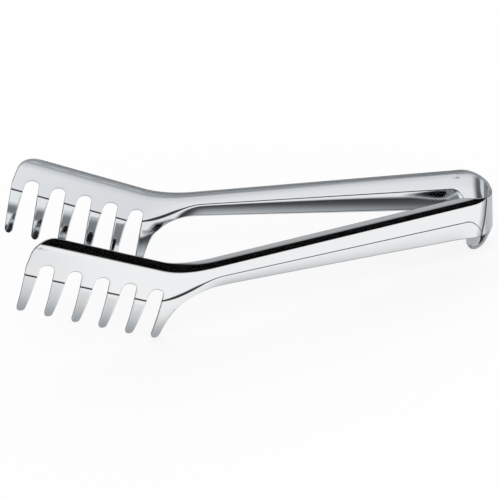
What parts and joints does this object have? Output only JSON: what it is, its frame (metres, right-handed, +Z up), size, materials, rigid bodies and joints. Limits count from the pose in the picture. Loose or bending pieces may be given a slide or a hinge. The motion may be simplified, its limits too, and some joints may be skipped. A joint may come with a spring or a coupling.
{
  "type": "spaghetti tongs",
  "caption": "Spaghetti tongs pressed from a strip of polished stainless steel: a spring bow with a hang hook, channel-shaped handles and comb heads with long tines.",
  "frame": {"origin": "on the surface that the tongs stand on, under the middle of their length and on their middle plane", "axes": "+X runs towards the spring bow, +Y towards the right arm and +Z up; the combs are at -X"},
  "size_m": [0.2078, 0.0658, 0.0618],
  "materials": {
    "polished_steel": "stainless steel strip polished to a mirror on both faces"
  },
  "bodies": {
    "bow": {"spring_bow": "polished_steel", "hang_hook": "polished_steel"},
    "left_arm": {"left_handle": "polished_steel", "left_comb": "polished_steel"},
    "right_arm": {"right_handle": "polished_steel", "right_comb": "polished_steel"}
  },
  "joints": [
    {"name": "left_flex", "type": "hinge", "parent": "bow", "child": "left_arm", "pos_m": [0.10068, -0.00883, 0.02021], "axis": [0, 0, -1], "range_deg": [0, 7.6], "stiffness_Nm_per_rad": 4},
    {"name": "right_flex", "type": "hinge", "parent": "bow", "child": "right_arm", "pos_m": [0.10068, 0.00883, 0.02021], "axis": [0, 0, 1], "range_deg": [0, 7.6], "stiffness_Nm_per_rad": 4}
  ]
}
